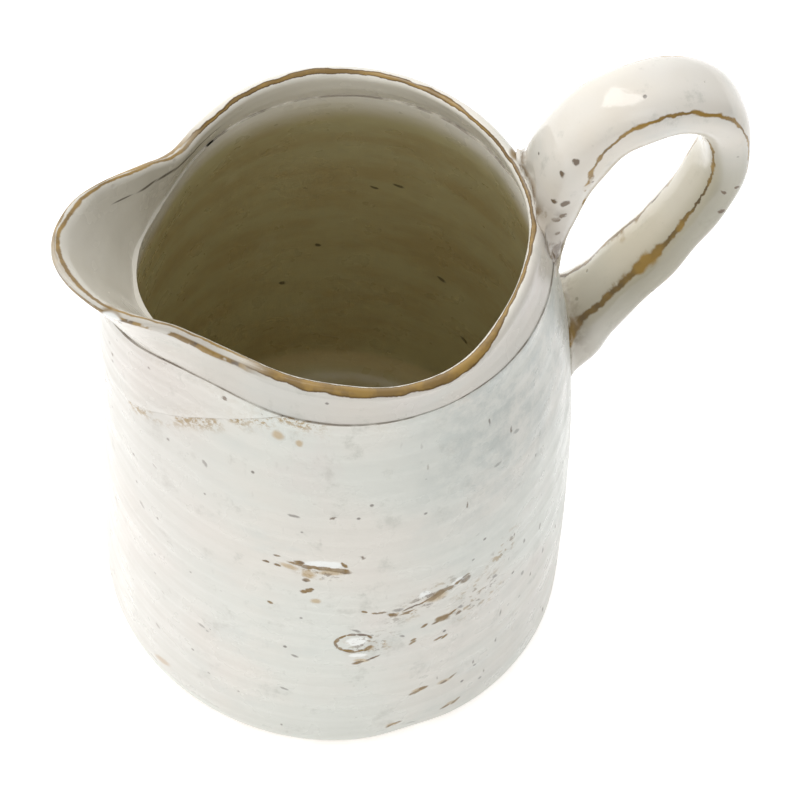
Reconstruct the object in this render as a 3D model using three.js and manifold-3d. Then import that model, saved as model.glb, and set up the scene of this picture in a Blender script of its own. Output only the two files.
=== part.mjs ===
// Glazed stoneware pitcher: thrown body on a flat base, luted collar with a pulled spout, strap handle.
// Millimetres, +Z up. The origin is the centre of the flat base, the spout points along -X and the
// handle along +X, so the pitcher is the same on both sides of the XZ plane.
// Pieces that are luted together with slip stand JOINT_GAP apart, which is the thickness of the slip line.
import * as THREE from 'three';
import { mergeVertices } from 'three/addons/utils/BufferGeometryUtils.js';
import loadManifold from 'manifold-3d';

// ---- Driving dimensions (mm, degrees) ----
const BODY_RADIUS = 78.3;
const WALL = 6;
const BASE_THICKNESS = 8;
const BASE_CORNER = 7;
const FLOOR_RADIUS = 69.5;
const SEAM_HEIGHT = 187;
const SEAM_RADIUS = 65.5;
const JOINT_GAP = 0.3;
const RIM_WALL = 4.8;
const RIM_ROUND = 2.6;
const RIM_ROUND_STEPS = 6;

// Crest of the rim: degrees round from the middle of the spout, radius, height.
const RIM_CREST = [
  [0, 93.7, 214.6],
  [14, 85.2, 213.1],
  [26, 69.9, 209.4],
  [38, 61.6, 202.3],
  [52, 60.2, 201.4],
  [74, 60.8, 201.8],
  [104, 61.6, 199.4],
  [140, 57.8, 202.3],
  [180, 58.8, 200.6],
];
const RIM_RADIUS = 60;

// Share of the spout's pull that the wall already has at the seam under the collar. The clay is
// thicker there, so the inside has less of it.
const SPOUT_AT_SEAM = 0.45;
const SPOUT_AT_SEAM_INSIDE = 0.25;

// The throat is let into the body's shoulder along a sloping plane through this point, [x, z].
const THROAT_POINT = [-55, 170];
const THROAT_SLOPE = 0.85;

// Outside of the body above the base, [height, radius].
const BODY_OUTLINE = [
  [BASE_THICKNESS, BODY_RADIUS],
  [45, BODY_RADIUS],
  [90, 77.3],
  [125, 74.8],
  [145, 72.4],
  [160, 69.7],
  [172, 67.3],
  [SEAM_HEIGHT, SEAM_RADIUS],
];
const BODY_STEPS = 11;

// Middle line of the handle, [x, z], from the collar over the top and down to the wall.
const HANDLE_LINE = [
  [63, 178],
  [65.5, 199],
  [72, 219.5],
  [84, 233.5],
  [99, 238],
  [113, 232.5],
  [120.5, 217],
  [120, 197],
  [107, 165],
  [92, 142.5],
  [81, 127],
  [71, 114],
];
// Fraction of the handle's length, half its thickness there, half its width there.
const HANDLE_SECTION = [
  [0, 6, 15.5],
  [0.1, 8.6, 14.4],
  [0.2, 12, 13],
  [0.36, 10, 12.5],
  [0.55, 7, 12.5],
  [0.83, 7.2, 12.6],
  [0.92, 8.6, 14.2],
  [1, 15.5, 18],
];
const UPPER_ROOT_END = 0.17;
const LOWER_ROOT_START = 0.87;
const STRAP_SQUARENESS = 0.8;
const STRAP_TAPER = 0.16;

const ROUND_SEGMENTS = 72;
const STRAP_SEGMENTS = 18;

// ---- Solid helpers ----
const manifold = await loadManifold();
manifold.setup();

// Moves every vertex of a geometry through place(x, y, z) and welds what meets.
function warp(geometry, place) {
  const moved = geometry.clone();
  moved.deleteAttribute('uv');
  moved.deleteAttribute('normal');
  const position = moved.attributes.position;
  for (let i = 0; i < position.count; i += 1) {
    position.setXYZ(i, ...place(position.getX(i), position.getY(i), position.getZ(i)));
  }
  return mergeVertices(moved, 1e-4);
}

function toSolid(geometry) {
  const index = geometry.index.array;
  const triangles = [];
  for (let i = 0; i < index.length; i += 3) {
    const [a, b, c] = [index[i], index[i + 1], index[i + 2]];
    if (a !== b && b !== c && c !== a) triangles.push(a, b, c);
  }
  return new manifold.Manifold(new manifold.Mesh({
    numProp: 3,
    vertProperties: new Float32Array(geometry.attributes.position.array),
    triVerts: new Uint32Array(triangles),
  }));
}

function toGeometry(solid) {
  const mesh = solid.getMesh();
  const geometry = new THREE.BufferGeometry();
  geometry.setAttribute('position', new THREE.BufferAttribute(mesh.vertProperties, 3));
  geometry.setIndex(new THREE.BufferAttribute(mesh.triVerts, 1));
  geometry.computeVertexNormals();
  return geometry;
}

// Turns a closed [radius, height] profile about +Z.
function turned(profile) {
  const points = profile.map(([radius, height]) => new THREE.Vector2(radius, height));
  return new THREE.LatheGeometry(points, ROUND_SEGMENTS).rotateX(Math.PI / 2);
}

// Smooth curve through rows of [where, value, value, ...], level at both ends.
function smoothTable(rows) {
  const size = rows[0].length - 1;
  const at = rows.map((row) => row[0]);
  const curve = new THREE.CubicInterpolant(at, rows.flatMap((row) => row.slice(1)), size);
  curve.settings = { endingStart: THREE.ZeroSlopeEnding, endingEnd: THREE.ZeroSlopeEnding };
  return (where) => Array.from(curve.evaluate(where));
}

// ---- The wall's shape ----
const rimCrest = smoothTable(RIM_CREST);

function fromSpout(x, y) {
  return 180 - Math.abs(THREE.MathUtils.radToDeg(Math.atan2(y, x)));
}

// How far the rim stands out from its plain circle, which is how far the spout is pulled.
function spoutPull(angle) {
  const fade = 1 - THREE.MathUtils.smoothstep(angle, 40, 60);
  return (rimCrest(angle)[0] - RIM_RADIUS) * fade;
}

// The body wall keeps its height. As its shoulder closes in to the seam, it is pulled out under the spout.
const bodyRadius = smoothTable(BODY_OUTLINE);

function placeBody(x, y, z) {
  const radius = Math.hypot(x, y);
  const depth = (bodyRadius(z)[0] - radius) / WALL;
  const closing = (BODY_RADIUS - bodyRadius(z)[0]) / (BODY_RADIUS - SEAM_RADIUS);
  const share = THREE.MathUtils.lerp(SPOUT_AT_SEAM, SPOUT_AT_SEAM_INSIDE, depth);
  const newRadius = radius + share * closing * spoutPull(fromSpout(x, y));
  return [x * newRadius / radius, y * newRadius / radius, z];
}

// The collar is turned as a straight band round SEAM_RADIUS with its foot at 0 and its crest at
// COLLAR_HEIGHT. Here its middle line leans from the seam to the crest, and its top follows the crest.
const COLLAR_HEIGHT = 14;
const COLLAR_FOOT = SEAM_HEIGHT + JOINT_GAP;

function placeCollar(x, y, z) {
  const radius = Math.hypot(x, y);
  const angle = fromSpout(x, y);
  const [crestRadius, crestHeight] = rimCrest(angle);
  const shoulder = COLLAR_HEIGHT - RIM_ROUND;
  const shoulderHeight = crestHeight - RIM_ROUND;
  const height = z <= shoulder
    ? THREE.MathUtils.mapLinear(z, 0, shoulder, COLLAR_FOOT, shoulderHeight)
    : shoulderHeight + z - shoulder;
  const rise = (height - COLLAR_FOOT) / (crestHeight - COLLAR_FOOT);
  const fromMiddle = radius - SEAM_RADIUS;
  const share = THREE.MathUtils.lerp(SPOUT_AT_SEAM, SPOUT_AT_SEAM_INSIDE, 0.5 - fromMiddle / WALL);
  const footMiddle = SEAM_RADIUS - WALL / 2 + share * spoutPull(angle);
  const newRadius = THREE.MathUtils.lerp(footMiddle, crestRadius, rise) + fromMiddle;
  return [x * newRadius / radius, y * newRadius / radius, height];
}

// ---- Body and base ----
const wallFoot = BASE_THICKNESS + JOINT_GAP;
const wallHeights = Array.from({ length: BODY_STEPS + 1 }, (_, step) => (
  THREE.MathUtils.lerp(wallFoot, SEAM_HEIGHT, step / BODY_STEPS)
));
const outside = wallHeights.map((height) => [bodyRadius(height)[0], height]);
const inside = outside.slice(2).reverse().map(([radius, height]) => [radius - WALL, height]);
const floorCorner = [
  [BODY_RADIUS - WALL, 14],
  [BODY_RADIUS - WALL - 0.8, 10.5],
  [FLOOR_RADIUS, wallFoot],
];
const bodyProfile = [...outside, ...inside, ...floorCorner, outside[0]];
const wholeWall = toSolid(warp(turned(bodyProfile), placeBody));

const throatNormal = new THREE.Vector3(-THROAT_SLOPE, 0, 1).normalize();
const throatOffset = throatNormal.dot(new THREE.Vector3(THROAT_POINT[0], 0, THROAT_POINT[1]));
const throat = wholeWall.trimByPlane(throatNormal.toArray(), throatOffset + JOINT_GAP / 2);
const body = wholeWall.trimByPlane(throatNormal.clone().negate().toArray(), JOINT_GAP / 2 - throatOffset);

const corner = new THREE.EllipseCurve(
  BODY_RADIUS - BASE_CORNER, BASE_CORNER, BASE_CORNER, BASE_CORNER, -Math.PI / 2, 0,
);
const baseProfile = [
  [0, 0],
  ...corner.getPoints(5).map((point) => [point.x, point.y]),
  [BODY_RADIUS, BASE_THICKNESS],
  [0, BASE_THICKNESS],
];
const base = toSolid(warp(turned(baseProfile), (x, y, z) => [x, y, z]));

// ---- Collar with its rounded rim ----
// The band can be grown outwards and filled inwards, which makes a bed for the handle's root.
function collarBand(grow, fill) {
  const outer = SEAM_RADIUS + WALL / 2 + grow;
  const inner = SEAM_RADIUS - WALL / 2 - fill;
  const round = new THREE.EllipseCurve(
    SEAM_RADIUS, COLLAR_HEIGHT - RIM_ROUND, RIM_WALL / 2 + grow, RIM_ROUND + grow, 0, Math.PI,
  );
  return toSolid(warp(turned([
    [outer, -grow],
    [outer, COLLAR_HEIGHT / 3],
    ...round.getPoints(RIM_ROUND_STEPS).map((point) => [point.x, point.y]),
    [inner, COLLAR_HEIGHT / 3],
    [inner, -grow],
    [outer, -grow],
  ]), placeCollar));
}
const collar = collarBand(0, 0);

// ---- Handle: one strap shape along HANDLE_LINE, cut into its two luted roots and the free strap ----
const handleLine = new THREE.CatmullRomCurve3(HANDLE_LINE.map(([x, z]) => new THREE.Vector3(x, 0, z)));
handleLine.arcLengthDivisions = 400;
const handleSection = smoothTable(HANDLE_SECTION);

function softPower(value) {
  return Math.sign(value) * Math.abs(value) ** STRAP_SQUARENESS;
}

// A stretch of the handle from one fraction of its length to another, rounder outside than inside.
function handleStretch(from, to, steps) {
  const blank = new THREE.CylinderGeometry(1, 1, 1, STRAP_SEGMENTS, steps);
  const bent = warp(blank, (x, y, z) => {
    const along = THREE.MathUtils.lerp(from, to, 0.5 - y);
    const middle = handleLine.getPointAt(along);
    const tangent = handleLine.getTangentAt(along);
    const [halfThickness, halfWidth] = handleSection(along);
    const reach = Math.hypot(x, z);
    const out = reach === 0 ? 0 : softPower(x / reach) * halfThickness * reach;
    const across = reach === 0 ? 0 : softPower(z / reach) * halfWidth * (1 + STRAP_TAPER * x) * reach;
    return [middle.x - tangent.z * out, -across, middle.z + tangent.x * out];
  });
  return toSolid(bent);
}

const gapAlong = JOINT_GAP / handleLine.getLength();
const strap = handleStretch(UPPER_ROOT_END + gapAlong, LOWER_ROOT_START - gapAlong, 26);

// What the roots are luted onto, JOINT_GAP proud: the body, the collar and the space over the mouth.
const overMouth = new THREE.CylinderGeometry(rimCrest(180)[0], rimCrest(180)[0], 60, ROUND_SEGMENTS);
const rootBed = manifold.Manifold.union([
  toSolid(warp(turned([
    [0, 60],
    ...outside.map(([radius, height]) => [radius + JOINT_GAP, height]).filter(([, height]) => height > 60),
    [0, SEAM_HEIGHT],
  ]), (x, y, z) => [x, y, z])),
  collarBand(JOINT_GAP, 30),
  toSolid(warp(overMouth, (x, y, z) => [x, -z, y + SEAM_HEIGHT + 30])),
]);
const upperRoot = handleStretch(0, UPPER_ROOT_END, 9).subtract(rootBed);
const lowerRoot = handleStretch(LOWER_ROOT_START, 1, 9).subtract(rootBed);

// ---- Assembly ----
const pitcher = new THREE.Group();
pitcher.name = 'ceramic_pitcher';
const vessel = new THREE.Group();
const handle = new THREE.Group();
pitcher.add(vessel, handle);

function addPiece(group, name, solid, color, roughness) {
  const material = new THREE.MeshStandardMaterial({ color, roughness, metalness: 0 });
  const piece = new THREE.Mesh(toGeometry(solid), material);
  piece.name = name;
  group.add(piece);
}

addPiece(vessel, 'base_slab', base, 0xe2dfd2, 0.35);
addPiece(vessel, 'body_wall', body, 0xe8e7df, 0.28);
addPiece(vessel, 'spout_throat', throat, 0xe6e3d8, 0.28);
addPiece(vessel, 'rim_collar', collar, 0xd8cfba, 0.25);
addPiece(handle, 'handle_upper_root', upperRoot, 0xded6c8, 0.25);
addPiece(handle, 'handle_strap', strap, 0xebe6d8, 0.22);
addPiece(handle, 'handle_lower_root', lowerRoot, 0xded6c8, 0.25);

export default pitcher;
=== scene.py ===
"""Looks of the glazed stoneware pitcher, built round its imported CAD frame.

Each of the seven clay pieces gets a fine mesh of the same shape as its CAD node, with thrown and
hand-joined irregularities, and a procedural glaze. Sizes are in millimetres until a mesh is made.
A place on the wall is given by its turn, in degrees from the spout towards the near side (-Y),
and by its height.
"""

import math

import bpy
import numpy as np
from mathutils import Matrix, Vector


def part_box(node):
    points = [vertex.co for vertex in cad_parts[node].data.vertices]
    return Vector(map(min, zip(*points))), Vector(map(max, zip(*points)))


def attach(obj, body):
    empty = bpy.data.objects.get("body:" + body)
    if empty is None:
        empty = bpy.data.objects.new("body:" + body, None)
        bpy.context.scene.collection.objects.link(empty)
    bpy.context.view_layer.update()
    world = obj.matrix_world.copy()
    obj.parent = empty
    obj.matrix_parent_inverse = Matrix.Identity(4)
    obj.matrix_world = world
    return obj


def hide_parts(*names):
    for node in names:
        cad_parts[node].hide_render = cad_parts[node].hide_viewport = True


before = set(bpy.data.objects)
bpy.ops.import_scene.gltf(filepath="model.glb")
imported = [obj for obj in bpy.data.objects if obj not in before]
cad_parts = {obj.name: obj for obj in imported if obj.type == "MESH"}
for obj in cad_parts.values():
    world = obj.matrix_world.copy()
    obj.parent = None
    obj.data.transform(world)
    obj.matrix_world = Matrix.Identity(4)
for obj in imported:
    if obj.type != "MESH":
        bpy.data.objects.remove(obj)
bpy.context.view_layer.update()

METRE = 0.001

# ---- Sizes read from the frame ----


def node_points(name):
    """A CAD node's vertices, in millimetres."""
    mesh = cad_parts[name].data
    points = np.empty(len(mesh.vertices) * 3)
    mesh.vertices.foreach_get("co", points)
    return points.reshape(-1, 3) / METRE


def corners(*names):
    """Lowest and highest corner of some CAD nodes together, in millimetres."""
    boxes = [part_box(name) for name in names]
    low = np.min([np.array(box[0]) for box in boxes], axis=0)
    high = np.max([np.array(box[1]) for box in boxes], axis=0)
    return low / METRE, high / METRE


FOOT_RADIUS = corners("base_slab")[1][1]
BASE_TOP = corners("base_slab")[1][2]
SEAM_Z = corners("body_wall")[1][2]

wall_points = node_points("body_wall")
wall_points = wall_points[(np.abs(wall_points[:, 0]) < 0.5) & (wall_points[:, 2] > SEAM_Z - 0.5)]
SEAM_RADIUS = wall_points[:, 1].max()
WALL = SEAM_RADIUS - wall_points[wall_points[:, 1] > 0][:, 1].min()

# ---- Shape rules shared with the CAD ----

# Shares of the wall's height up to the seam, and of the foot's radius.
BODY_OUTLINE = [
    (0.043, 1.0),
    (0.241, 1.0),
    (0.481, 0.987),
    (0.668, 0.955),
    (0.775, 0.925),
    (0.856, 0.890),
    (0.920, 0.8595),
    (1.0, 0.8365),
]
SPOUT_AT_SEAM = 0.45
SPOUT_AT_SEAM_INSIDE = 0.25
PLAIN_RIM = 60 / 65.5  # radius of the rim's plain circle, as a share of the seam's
RIM_WALL = 4.8
RIM_ROUND = 2.6
# The rounded corner inside, where the wall meets the base.
INNER_CORNER = 12
# The slanted plane that the throat is cut along, from the seam down towards the spout's front.
THROAT_X = -55
THROAT_DROP = 17
THROAT_SLOPE = 0.85

# Centre line of the strap handle, as shares of the box round its three pieces: along X, along Z.
HANDLE_LINE = [
    (0.071, 0.511),
    (0.107, 0.657),
    (0.199, 0.799),
    (0.369, 0.897),
    (0.581, 0.928),
    (0.780, 0.890),
    (0.886, 0.782),
    (0.879, 0.643),
    (0.695, 0.420),
    (0.482, 0.263),
    (0.326, 0.155),
    (0.185, 0.065),
]
# Share of the line's length, half thickness and half width.
HANDLE_SECTION = [
    (0.0, 6.0, 15.5),
    (0.10, 8.6, 14.4),
    (0.20, 12.0, 13.0),
    (0.36, 10.0, 12.5),
    (0.55, 7.0, 12.5),
    (0.83, 7.2, 12.6),
    (0.92, 8.6, 14.2),
    (1.0, 15.5, 18.0),
]
UPPER_ROOT_END = 0.17
LOWER_ROOT_START = 0.87
STRAP_SQUARENESS = 0.8
STRAP_TAPER = 0.16

# ---- Detail that the CAD doesn't have ----

AROUND = 384  # points round the pitcher
STRAP_AROUND = 176
STRAP_STEP = 0.7
LAYERS = (1.0, 2.5, 4.0, 5.0)  # depths of the rows inside the wall's thickness
FAR_FROM_SEAM = 10.0
RELIEF_DEPTH = 0.4  # keeps the uneven face inside the CAD's
GROOVE_HEIGHT = 91
GROOVE_DEPTH = 0.22
GROOVE_WIDTH = 0.7
DENT_TURN = 96
DENT_DEPTH = 1.1
DENT_WIDTH = 9
FOOT_LAND = 17  # the width of the flat that the pitcher stands on
FOOT_BEVEL = 3
FOOT_HOLLOW = 1.3
WALL_REACH = 20  # how far from the wall the strap's shader knows its distance


def smoothstep(value, low, high):
    share = np.clip((value - low) / (high - low), 0, 1)
    return share * share * (3 - 2 * share)


def mix(low, high, share):
    return low + (high - low) * share


def smooth_curve(at, values):
    """A cubic through the given values, flat at both ends."""
    at = np.array(at, float)
    values = np.array(values, float)
    slopes = np.zeros(len(at))
    slopes[1:-1] = (values[2:] - values[:-2]) / (at[2:] - at[:-2])

    def evaluate(where):
        where = np.clip(where, at[0], at[-1])
        i = np.clip(np.searchsorted(at, where, side="right") - 1, 0, len(at) - 2)
        gap = at[i + 1] - at[i]
        t = (where - at[i]) / gap
        low = (1 + 2 * t) * (1 - t) ** 2 * values[i] + t * (1 - t) ** 2 * gap * slopes[i]
        high = t * t * (3 - 2 * t) * values[i + 1] - t * t * (1 - t) * gap * slopes[i + 1]
        return low + high

    return evaluate


outline = smooth_curve(
    [share * SEAM_Z for share, _ in BODY_OUTLINE],
    [share * FOOT_RADIUS for _, share in BODY_OUTLINE],
)


def read_crest():
    """The rim's highest line, every five degrees from the spout round to the handle."""
    points = node_points("rim_collar")
    turns = np.degrees(np.arctan2(np.abs(points[:, 1]), -points[:, 0]))
    steps = np.arange(0, 181, 5)
    radii, heights = [], []
    for step in steps:
        column = points[np.abs(turns - step) < 0.6]
        top = column[np.argmax(column[:, 2])]
        radii.append(math.hypot(top[0], top[1]))
        heights.append(top[2])
    return smooth_curve(steps, radii), smooth_curve(steps, heights)


crest_radius, crest_height = read_crest()


def spout_pull(turn):
    away = np.abs(turn)
    return (crest_radius(away) - PLAIN_RIM * SEAM_RADIUS) * (1 - smoothstep(away, 40, 60))


def wall_radius(turn, height, depth):
    """Radius of the thrown wall, some depth under its outer face."""
    plain = outline(height)
    closing = (FOOT_RADIUS - plain) / (FOOT_RADIUS - SEAM_RADIUS)
    share = mix(SPOUT_AT_SEAM, SPOUT_AT_SEAM_INSIDE, depth / WALL)
    return plain - depth + share * closing * spout_pull(turn)


def collar_radius(turn, height, offset):
    """Radius inside the collar, some offset from its middle."""
    away = np.abs(turn)
    rise = np.clip((height - SEAM_Z) / (crest_height(away) - SEAM_Z), 0, 1)
    share = mix(SPOUT_AT_SEAM, SPOUT_AT_SEAM_INSIDE, 0.5 - offset / WALL)
    foot = SEAM_RADIUS - WALL / 2 + share * spout_pull(turn)
    return mix(foot, crest_radius(away), rise) + offset


def throat_height(turn, depth):
    """Height of the slanted cut where it meets the wall."""
    height = np.full(np.shape(turn), SEAM_Z - 10.0)
    for _ in range(40):
        x = -wall_radius(turn, height, depth) * np.cos(np.radians(turn))
        height = SEAM_Z - THROAT_DROP + THROAT_SLOPE * (x - THROAT_X)
    return np.minimum(height, SEAM_Z)


def relief(turn, height):
    """Throwing rings and uneven clay on the wall, never proud of the CAD's face."""
    angle = np.radians(turn)
    rings = 0.07 * np.sin(0.62 * height + 0.9 * np.sin(angle + 1.0))
    rings += 0.045 * np.sin(1.43 * height + 1.7 * np.sin(2 * angle) + 2.0)
    lumps = 0.16 * np.sin(3 * angle + 0.021 * height + 0.6)
    lumps += 0.12 * np.sin(5 * angle - 0.035 * height + 2.2)
    groove_height = GROOVE_HEIGHT + 4 * np.sin(angle - 0.9)
    groove = GROOVE_DEPTH * np.exp(-(((height - groove_height) / GROOVE_WIDTH) ** 2))
    dent = DENT_DEPTH * np.exp(-(((turn - DENT_TURN) / DENT_WIDTH) ** 2)) * (1 - smoothstep(height, 4, 22))
    return rings + lumps - groove - dent - RELIEF_DEPTH


# ---- Mesh making ----


def place(turn, radius, height):
    angle = np.radians(turn)
    parts = np.broadcast_arrays(-radius * np.cos(angle), -radius * np.sin(angle), height)
    return np.stack(parts, axis=-1)


def lattice(name, grid, loop_rows=True, loop_columns=True, marks=None, poles=False, turned=False):
    """Makes a mesh from a grid of points. Rows and columns may close on themselves, and the first
    and last row may be filled with a fan. marks holds values for the shader, one per point."""
    rows, columns = grid.shape[:2]
    index = np.arange(rows * columns).reshape(rows, columns)
    below = index if loop_rows else index[:-1]
    above = np.roll(index, -1, axis=0) if loop_rows else index[1:]
    if loop_columns:
        quads = [below, np.roll(below, -1, axis=1), np.roll(above, -1, axis=1), above]
    else:
        quads = [below[:, :-1], below[:, 1:], above[:, 1:], above[:, :-1]]
    faces = np.stack([part.ravel() for part in quads], axis=1).tolist()
    points = grid.reshape(-1, 3)
    values = {key: np.broadcast_to(value, (rows, columns)).ravel() for key, value in (marks or {}).items()}
    if poles:
        for ring, flip in ((index[0], True), (index[-1], False)):
            centre = len(points)
            points = np.vstack([points, grid.reshape(-1, 3)[ring].mean(axis=0)])
            values = {key: np.append(value, value[ring].mean()) for key, value in values.items()}
            following = np.roll(ring, -1)
            for here, there in zip(ring.tolist(), following.tolist()):
                faces.append([there, here, centre] if flip else [here, there, centre])
    if turned:
        faces = [face[::-1] for face in faces]
    mesh = bpy.data.meshes.new(name)
    mesh.from_pydata((points * METRE).tolist(), [], faces)
    for key, value in values.items():
        layer = mesh.attributes.new(key, "FLOAT", "POINT")
        layer.data.foreach_set("value", np.ascontiguousarray(value, dtype=np.float32))
    mesh.validate()
    mesh.shade_smooth()
    mesh.set_sharp_from_angle(angle=math.radians(48))
    piece = bpy.data.objects.new(name, mesh)
    bpy.context.scene.collection.objects.link(piece)
    return piece


class Skin:
    """Rows of points for a lattice, with the values that the shader needs at each."""

    def __init__(self):
        self.rows = []
        self.marks = {}

    def add(self, row, **marks):
        self.rows.append(row)
        for key, value in marks.items():
            self.marks.setdefault(key, []).append(value + np.zeros(len(row)))

    def build(self, name, rim=None, loop_columns=True):
        marks = {key: np.array(rows) for key, rows in self.marks.items()}
        if rim is not None:
            marks["rim"] = rim
        return lattice(name, np.array(self.rows), loop_columns=loop_columns, marks=marks)


def steps_from_edge(length, first, growth, largest):
    """Distances from an edge that start fine and widen, up to the given length."""
    marks = [0.0]
    step = first
    while marks[-1] + step < length - 0.4 * step:
        marks.append(marks[-1] + step)
        step = min(step * growth, largest)
    marks.append(length)
    return np.array(marks)


def edge_inset(distance, turn):
    """How far a glazed face falls back beside a seam, less where the glaze filled it."""
    angle = np.radians(turn)
    uneven = np.sin(5 * angle + 0.7) * np.sin(11 * angle + 2) + 0.5 * np.sin(23 * angle)
    open_share = np.clip(0.55 + 0.6 * uneven, 0.1, 1)
    narrow = 0.12 * open_share * np.exp(-((distance / 0.4) ** 2))
    return narrow + 0.08 * np.exp(-((distance / 1.6) ** 2))


# ---- The seven pieces ----

turns = np.linspace(-180, 180, AROUND, endpoint=False)


def make_base():
    corner = 0.87 * BASE_TOP
    # Each row of the profile: its radius, its height, and whether it is inside.
    bed = [(r, BASE_TOP + 0.05, 1.0) for r in np.linspace(1.5, FOOT_RADIUS - WALL - INNER_CORNER + 0.4, 40)]
    bed += [(FOOT_RADIUS - WALL + 1, BASE_TOP - 0.02, 1.0), (FOOT_RADIUS - 1.5, BASE_TOP, 0.0)]
    side = [(FOOT_RADIUS, BASE_TOP, 0.0), (FOOT_RADIUS, BASE_TOP - 0.5, 0.0)]
    for angle in np.radians(np.linspace(0, 90, 15)):
        radius = FOOT_RADIUS - corner + corner * math.cos(angle)
        side.append((radius, corner - corner * math.sin(angle), 0.0))
    foot = [(r, 0.0, 0.0) for r in np.linspace(FOOT_RADIUS - corner - 0.6, FOOT_RADIUS - FOOT_LAND, 10)]
    for share in np.linspace(0.1, 1, 7):
        inset = FOOT_LAND + FOOT_BEVEL * share
        foot.append((FOOT_RADIUS - inset, FOOT_HOLLOW * smoothstep(share, 0, 1), 0.0))
    hollow = FOOT_RADIUS - FOOT_LAND - FOOT_BEVEL - 2
    foot += [(r, FOOT_HOLLOW, 0.0) for r in np.linspace(hollow, 1.5, 34)]
    profile = np.array(bed + side + foot)
    radius = profile[:, :1] + np.zeros((1, AROUND))
    height = profile[:, 1:2] + np.zeros((1, AROUND))
    outside = smoothstep(profile[:, :1], FOOT_RADIUS - 12, FOOT_RADIUS - 2)
    radius = radius + relief(turns[None], np.maximum(height, 0)) * outside
    swirl = 0.16 * np.sin(radius * 0.9 + np.radians(turns[None])) * profile[:, 2:3]
    middle = profile[:, :1] < FOOT_RADIUS - WALL - 4
    height = height + np.where(middle, swirl, 0) * (1 - smoothstep(radius, 50, 64))
    marks = {"inside": profile[:, 2:3], "seam": FAR_FROM_SEAM, "rim": 40.0}
    return lattice("glazed_base", place(turns[None], radius, height), loop_rows=False, marks=marks,
                   poles=True)


def make_body():
    low = BASE_TOP
    span = SEAM_Z - low
    outer = steps_from_edge(span, 0.18, 1.25, 1.3)[::-1]
    inner = steps_from_edge(span - INNER_CORNER, 0.18, 1.25, 2.6)
    top_outer = throat_height(turns, 0)
    top_inner = throat_height(turns, WALL)
    skin = Skin()

    def ring(height, depth, is_inside, from_seam):
        hidden = inner_fade(turns) if is_inside else fold_fade(turns)
        from_seam = np.minimum(from_seam + hidden, FAR_FROM_SEAM)
        inset = edge_inset(from_seam, turns) if depth in (0, WALL) else 0
        radius = wall_radius(turns, height, depth)
        if is_inside:
            radius = radius + inset + 0.6 * relief(turns + 40, height)
        else:
            radius = radius - inset + relief(turns, height)
        skin.add(place(turns, radius, height), inside=float(is_inside), seam=from_seam)

    for below in outer:
        ring(top_outer - below * (top_outer - low) / span, 0, False, below)
    for depth in LAYERS:
        ring(mix(top_outer, top_inner, depth / WALL), depth, depth > 3, 0.0)
    for below in inner:
        ring(top_inner - below * (top_inner - low) / span, WALL, True, below)
    for share in np.linspace(0.1, 1, 10):
        angle = share * math.pi / 2
        radius = outline(low) - WALL - INNER_CORNER * (1 - math.cos(angle))
        radius = radius + 0.6 * relief(turns + 40, low) * (1 - share)
        height = low + 0.05 + INNER_CORNER * (1 - math.sin(angle))
        skin.add(place(turns, radius, height), inside=1.0, seam=FAR_FROM_SEAM)
    for radius in (FOOT_RADIUS - WALL + 0.5, FOOT_RADIUS - 1.5):
        skin.add(place(turns, radius, low), inside=0.0, seam=FAR_FROM_SEAM)
    return skin.build("glazed_body", rim=40.0)


def fold_fade(turn):
    """Extra distance from the throat's fold, which the glaze hides under the spout's front."""
    return 9 * (1 - smoothstep(np.abs(turn), 9, 16))


def inner_fade(turn):
    """Extra distance from the inner seams, which the glaze hides in the spout's channel."""
    return 9 * (1 - smoothstep(np.abs(turn), 30, 46))


def make_throat():
    reach = np.linspace(0, 90, 1801)
    widest = reach[np.argmax(throat_height(reach, 0) >= SEAM_Z - 1e-6)]
    across = np.linspace(-widest, widest, 201)
    shares = np.concatenate([np.linspace(0, 0.05, 6)[:-1], np.linspace(0.05, 0.95, 50),
                             np.linspace(0.95, 1, 6)[1:]])
    skin = Skin()

    def ring(share, depth, is_inside):
        low = throat_height(across, depth)
        height = mix(low, SEAM_Z, share)
        fold = height - low + fold_fade(across)
        nearest = np.minimum(fold, SEAM_Z - height)
        if is_inside:
            nearest = nearest + inner_fade(across)
        radius = wall_radius(across, height, depth)
        inset = edge_inset(nearest, across)
        swell = 0.35 * np.exp(-(((height - low - 3) / 3) ** 2)) * smoothstep(SEAM_Z - low, 1, 12)
        if is_inside:
            radius = radius + inset + 0.6 * relief(across + 40, height)
        else:
            radius = radius - inset + swell + relief(across, height)
        marks = {"inside": float(is_inside), "seam": np.minimum(nearest, FAR_FROM_SEAM)}
        skin.add(place(across, radius, height), **marks)

    for share in shares:
        ring(share, 0, False)
    for depth in LAYERS:
        ring(1.0, depth, depth > 3)
    for share in shares[::-1]:
        ring(share, WALL, True)
    for depth in LAYERS[::-1]:
        ring(0.0, depth, depth > 3)
    return skin.build("glazed_throat", rim=25.0, loop_columns=False)


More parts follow.
